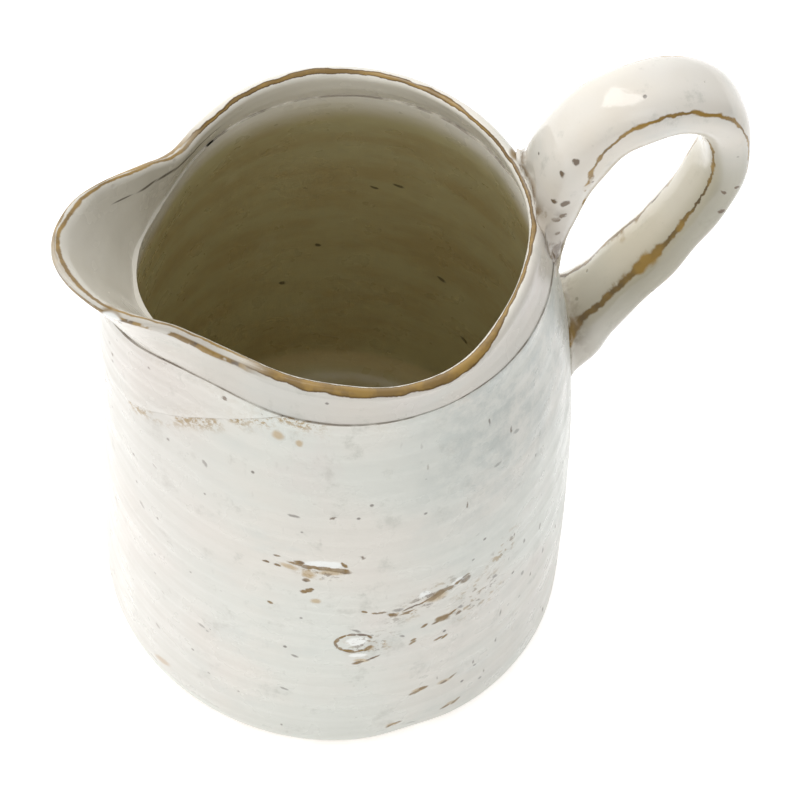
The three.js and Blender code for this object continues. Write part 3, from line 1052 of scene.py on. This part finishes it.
def rim_glaze(name):
    """The collar's glaze, which breaks to golden brown where it thins over the edge."""
    glaze = Glaze(name)
    color = glaze_ground(glaze, RIM_MILK, RIM_CREAM, blush=0.5)
    color, specks = glaze_specks(glaze, color)
    seam = glaze.attribute("seam")
    rim = glaze.attribute("rim")
    color = glaze_inside(glaze, color)
    color = seam_line(glaze, color, seam)
    pool = wall_spots(glaze, glaze.place, RIM_POOLS, softness=0.3)
    color = glaze.blend(glaze.times(pool, 0.85), color, GOLD)
    # Painted shade along the crease inside the spout.
    crease = wall_spots(glaze, glaze.place, CREASE_SHADE_MARKS, inside=True, softness=0.5)
    color = glaze.blend(glaze.times(crease, 0.85), color, CREASE_SHADE)
    away = glaze.attribute("away")
    near = glaze.fade(glaze.split_place()[1], -0.02, 0.02, 1.0, 0.0)
    near = glaze.times(near, glaze.fade(away, 112, 138, 1.0, 0.0))
    spout = glaze.fade(away, 38, 54, 1.0, 0.0)
    edge = glaze.math("ADD", rim, glaze.fade(glaze.noise(190, 4, 0.6), 0.25, 0.75, -0.35, 0.35))
    wide = glaze.math("ADD", edge, glaze.fade(glaze.noise(42, 3, 0.6), 0.3, 0.7, -0.8, 0.8))
    inner_limit = glaze.math("MULTIPLY_ADD", near, 0.5, -2.1)
    outer_limit = glaze.math("MULTIPLY_ADD", near, 2.6, 0.2)
    from_inner = glaze.math("SUBTRACT", edge, inner_limit)
    from_outer = glaze.math("SUBTRACT", outer_limit, wide)
    band = glaze.times(glaze.fade(from_inner, -0.15, 0.15), glaze.fade(from_outer, -0.2, 0.3))
    plain = glaze.math("SUBTRACT", 1.0, spout)
    band = glaze.times(band, plain)
    inner_line = glaze.fade(glaze.math("ABSOLUTE", glaze.math("ADD", edge, 1.2)), 0.4, 1.0, 1.0, 0.0)
    outer_line = glaze.fade(glaze.math("ABSOLUTE", glaze.math("SUBTRACT", wide, 1.0)), 0.7, 1.3, 1.0, 0.0)
    outer_line = glaze.times(outer_line, glaze.math("SUBTRACT", 1.0, near))
    lines = glaze.times(glaze.math("MAXIMUM", inner_line, outer_line), spout)
    blots = glaze.times(glaze.fade(rim, 1.3, 2.1), glaze.fade(wide, 3.9, 4.7, 1.0, 0.0))
    blots = glaze.times(blots, glaze.fade(glaze.noise(125, 3, 0.6), 0.36, 0.44))
    blots = glaze.times(blots, glaze.times(spout, near))
    gold = glaze.blend(glaze.fade(glaze.noise(120, 4, 0.6), 0.4, 0.62), GOLD, AMBER)
    color = glaze.blend(glaze.times(blots, 0.9), color,
                        glaze.blend(glaze.fade(glaze.noise(230, 3), 0.5, 0.7), gold, BRONZE))
    chip = wall_spots(glaze, glaze.place, RIM_CHIP_AND_GLINT, softness=0.25)
    color = glaze.blend(glaze.times(lines, 0.9), color, gold)
    color = glaze.blend(glaze.times(band, 0.95), color, gold)
    dark = glaze.math("MAXIMUM", glaze.fade(from_inner, 0.25, 0.5, 1.0, 0.0),
                      glaze.fade(from_outer, 0.2, 0.9, 1.0, 0.0))
    color = glaze.blend(glaze.times(glaze.times(band, dark), 0.75), color, BRONZE)
    # White: a painted highlight where the lip's chip glints, and the thick pale drop beside the handle.
    color = glaze.blend(chip, color, WHITE)
    return glaze.finish_glossy(color, specks, 0.16, 0.3)


def strap_specks(count, along, around, size):
    """Dark specks on the strap: a place and a radius, drawn between the values that are given."""
    specks = []
    for _ in range(count):
        spot = handle_surface(np.array(dice.uniform(*along)), np.array(dice.uniform(*around)))
        specks.append((spot, dice.uniform(*size)))
    return specks


# Most lie on the near side of the upper root. A quarter turn round the strap is its near side.
HANDLE_SPECKS = strap_specks(9, (0.06, 0.22), (0.7, 1.5), (0.7, 1.5))
HANDLE_SPECKS += strap_specks(3, (0.50, 0.62), (1.2, 1.7), (0.7, 1.1))


def handle_glaze(name, stained_and_shaded):
    """The strap's glaze: it breaks to brown along its edges, has stains where it joins the wall, and
    painted shade in that corner and on the lower limb's near side.
    """
    glaze = Glaze(name)
    color = glaze_ground(glaze, PORCELAIN, IVORY, blush=0.25)
    color, specks = glaze_specks(glaze, color)
    near = glaze.attribute("near")
    out = glaze.attribute("out")
    wall = glaze.attribute("wall")
    ragged = glaze.fade(glaze.noise(170, 3, 0.6), 0.2, 0.8, -0.06, 0.06)
    slow = glaze.noise(55, 3, 0.6)
    thick = glaze.fade(slow, 0.38, 0.68, 0.035, 0.12)
    along = glaze.attribute("along")
    # Painted shade: the near side of the lower limb is darkened towards khaki.
    shaded = glaze.times(glaze.fade(near, 0.2, 0.9), glaze.fade(along, 0.42, 0.58))
    shaded = glaze.times(shaded, glaze.fade(along, 0.8, 0.95, 1.0, 0.45))
    color = glaze.blend(glaze.times(shaded, 0.72), color, SHADE_KHAKI)
    inner_face = glaze.times(glaze.fade(out, -0.7, -0.3, 0.5, 0.0), glaze.fade(along, 0.42, 0.55))
    color = glaze.blend(inner_face, color, STRAW)
    rising = glaze.fade(along, 0.06, 0.33, -0.6, 0.6)
    lower = glaze.fade(along, 0.55, 0.82, 0.85, 2.1)
    thick = glaze.times(thick, lower)
    broken = glaze.math("ADD", glaze.fade(along, 0.16, 0.24), glaze.fade(glaze.noise(160, 3), 0.44, 0.54))
    broken = glaze.math("MINIMUM", broken, 1.0)
    # Each edge line: which side it is on, how far out round the section, and its strength.
    lines = ((1.0, rising, 0.95), (1.0, -0.72, 0.9), (-1.0, 0.66, 0.75), (-1.0, -0.7, 0.9))
    for side, level, strength in lines:
        miss = glaze.math("ABSOLUTE", glaze.math("ADD", glaze.math("SUBTRACT", out, level), ragged))
        line = glaze.math("DIVIDE", miss, thick)
        mask = glaze.times(glaze.fade(line, 0.5, 1.2, strength, 0.0), broken)
        facing = glaze.fade(glaze.times(near, side), 0.1, 0.3)
        color = glaze.blend(glaze.times(mask, facing), color,
                            glaze.blend(glaze.fade(slow, 0.34, 0.6), BRONZE, AMBER))
    nudge = glaze.vector("SCALE", glaze.noise(420, 3, color=True), 0.0024)
    where = glaze.vector("SUBTRACT", glaze.vector("ADD", glaze.place, nudge), (0.0012, 0.0012, 0.0012))
    nearest = 9.0
    for centre, size in HANDLE_SPECKS:
        centre = tuple(value * METRE for value in centre)
        nearest = glaze.math("MINIMUM", nearest, glaze.spot(where, centre, (size * METRE,) * 3, (0, 0, 0)))
    color = glaze.blend(glaze.fade(nearest, 0.7, 1.3, 0.9, 0.0), color, UMBER)
    if stained_and_shaded:
        low = glaze.fade(along, 0.5, 0.6, 1.0, 0.4)
        # Painted shade: a smooth brown darkening in the corner where the root meets the wall, strongest on
        # the near side. The blots after it are stains.
        corner = glaze.times(glaze.fade(wall, 0.0, 11.0, 0.5, 0.0),
                             glaze.fade(near, -0.2, 0.5, 0.25, 1.0))
        corner = glaze.times(corner, low)
        color = glaze.blend(corner, color, JOIN_SHADE)
        blot = glaze.fade(glaze.noise(85, 4, 0.65), 0.5, 0.6)
        blot = glaze.times(blot, low)
        color = glaze.blend(glaze.times(blot, glaze.fade(wall, 0.5, 8.0, 0.85, 0.04)), color,
                            glaze.blend(glaze.fade(glaze.noise(140), 0.4, 0.6), PALE_UMBER, UMBER))
    return glaze.finish_glossy(color, specks, 0.06, 0.14)


def base_glaze(name):
    """Glazed side and bed, with a foot ring of bare fired clay underneath."""
    glaze = Glaze(name)
    color = glaze_ground(glaze, blush=0.5)
    color, specks = glaze_specks(glaze, color)
    height = glaze.split_place()[2]
    worn = glaze.math("ADD", height, glaze.fade(glaze.noise(120, 4, 0.6), 0.3, 0.7, -0.0008, 0.0008))
    color = glaze.blend(glaze.fade(worn, 0.0012, 0.004, 0.55, 0.0), color, TAN)
    color = glaze_inside(glaze, color)
    x, y = glaze.split_place()[0:2]
    radius = glaze.math("SQRT", glaze.math("ADD", glaze.times(x, x), glaze.times(y, y)))
    low = glaze.fade(worn, 0.0006, 0.0012, 1.0, 0.0)
    ring = glaze.times(low, glaze.fade(radius, 0.056, 0.059))
    clay = glaze.blend(glaze.noise(300, 3, 0.6), BARE_CLAY, BARE_CLAY_DARK)
    color = glaze.blend(ring, color, clay)
    bumps = glaze.math("SUBTRACT", glaze.noise(95, 3), glaze.times(specks, 0.5))
    roughness = glaze.fade(ring, 0.0, 1.0, 0.3, 0.85)
    return glaze.finish(color, bumps, roughness)


# ---- Assembly ----

root_glaze = handle_glaze("glaze_root", True)
PIECES = [
    (make_base(), "base_slab", "glaze_base", base_glaze("glaze_base")),
    (make_body(), "body_wall", "glaze_body", None),
    (make_throat(), "spout_throat", "glaze_throat", wall_glaze("glaze_throat", {})),
    (make_collar(), "rim_collar", "glaze_rim", rim_glaze("glaze_rim")),
    (make_handle("glazed_upper_root", 0.0, UPPER_ROOT_END, 8.0), "handle_upper_root", "glaze_root",
     root_glaze),
    (make_handle("glazed_strap", UPPER_ROOT_END, LOWER_ROOT_START, 7.0), "handle_strap", "glaze_handle",
     handle_glaze("glaze_handle", False)),
    (make_handle("glazed_lower_root", LOWER_ROOT_START, 1.0, 7.0), "handle_lower_root", "glaze_root",
     root_glaze),
]

for piece, node, slot, material in PIECES:
    if material:
        piece.data.materials.append(material)
    else:
        glaze_by_cells(piece)
    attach(piece, "root")
    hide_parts(node)

# ---- Studio ----


FLOOR_HALF = 6.0
FLOOR_GREY = 0.93
FLOOR_GLOW = 0.46  # lifts the paper to white, as in a product picture


def make_floor():
    mesh = bpy.data.meshes.new("floor")
    half = FLOOR_HALF
    mesh.from_pydata([(-half, -half, 0), (half, -half, 0), (half, half, 0), (-half, half, 0)], [],
                     [(0, 1, 2, 3)])
    floor = bpy.data.objects.new("floor", mesh)
    bpy.context.scene.collection.objects.link(floor)
    paper = bpy.data.materials.new("floor_paper")
    paper.use_nodes = True
    shader = paper.node_tree.nodes["Principled BSDF"]
    shader.inputs["Base Color"].default_value = (FLOOR_GREY, FLOOR_GREY, FLOOR_GREY, 1)
    shader.inputs["Roughness"].default_value = 0.9
    shader.inputs["Specular IOR Level"].default_value = 0.1
    shader.inputs["Emission Color"].default_value = (1, 1, 1, 1)
    shader.inputs["Emission Strength"].default_value = FLOOR_GLOW
    mesh.materials.append(paper)


def add_softbox(name, spot, target, width, height, power):
    """A rectangular lamp at spot that points at target, in metres and watts."""
    lamp = bpy.data.lights.new(name, "AREA")
    lamp.shape = "RECTANGLE"
    lamp.size = width
    lamp.size_y = height
    lamp.energy = power
    box = bpy.data.objects.new(name, lamp)
    bpy.context.scene.collection.objects.link(box)
    spot, target = Vector(spot), Vector(target)
    box.location = spot
    box.rotation_euler = (target - spot).to_track_quat("-Z", "Y").to_euler()


make_floor()
add_softbox("window_softbox", (-0.35, 0.5, 1.3), (0.08, 0, 0.24), 0.4, 0.7, 3.6)
add_softbox("mouth_softbox", (-0.3, -0.75, 1.7), (0, 0.03, 0.12), 0.8, 0.8, 1.6)

# Brightness of the white surroundings towards +Y, -Y, -X and +Z. Most light comes from behind.
# Each row: an axis of X, Y, Z, its sign, and the strength.
SURROUNDINGS = [(1, 1, 1.4), (1, -1, 0.22), (0, -1, 0.7), (2, 1, 0.68)]


def light_world():
    """Soft white surroundings, brightest behind the pitcher."""
    world = bpy.data.worlds.new("studio")
    world.use_nodes = True
    tree = world.node_tree

    def combine(operation, first, second):
        node = tree.nodes.new("ShaderNodeMath")
        node.operation = operation
        tree.links.new(first, node.inputs[0])
        if isinstance(second, float):
            node.inputs[1].default_value = second
        else:
            tree.links.new(second, node.inputs[1])
        return node.outputs[0]

    split = tree.nodes.new("ShaderNodeSeparateXYZ")
    tree.links.new(tree.nodes.new("ShaderNodeTexCoord").outputs["Generated"], split.inputs[0])
    sides = [combine("MAXIMUM", combine("MULTIPLY", split.outputs[axis], sign * strength), 0.0)
             for axis, sign, strength in SURROUNDINGS]
    total = sides[0]
    for side in sides[1:]:
        total = combine("ADD", total, side)
    background = tree.nodes["Background"]
    background.inputs["Color"].default_value = (1, 1, 1, 1)
    tree.links.new(total, background.inputs["Strength"])
    return world


bpy.context.scene.world = light_world()
bpy.context.scene.view_settings.view_transform = "Standard"

# ---- Camera ----

CAMERA_TURN = -17.99
CAMERA_RISE = 57.91
CAMERA_ROLL = 4.26
CAMERA_DISTANCE = 1.5
CAMERA_AIM = (0, 0, 0.2)
CAMERA_SLIDE = (0.0157, -0.05405)
LENS = 216
SENSOR = 36


def add_camera():
    turn, rise, roll = (math.radians(v) for v in (CAMERA_TURN, CAMERA_RISE, CAMERA_ROLL))
    back = Vector((math.sin(turn) * math.cos(rise), -math.cos(turn) * math.cos(rise), math.sin(rise)))
    level = Vector((math.cos(turn), math.sin(turn), 0))
    upright = back.cross(level)
    right = level * math.cos(roll) + upright * math.sin(roll)
    up = upright * math.cos(roll) - level * math.sin(roll)
    lens = bpy.data.cameras.new("camera")
    lens.sensor_width = SENSOR
    lens.lens = LENS
    lens.clip_end = 50
    camera = bpy.data.objects.new("camera", lens)
    bpy.context.scene.collection.objects.link(camera)
    stand = Vector(CAMERA_AIM) + back * CAMERA_DISTANCE + right * CAMERA_SLIDE[0] + up * CAMERA_SLIDE[1]
    axes = Matrix((right, up, back)).transposed()
    camera.matrix_world = Matrix.Translation(stand) @ axes.to_4x4()
    bpy.context.scene.camera = camera


add_camera()
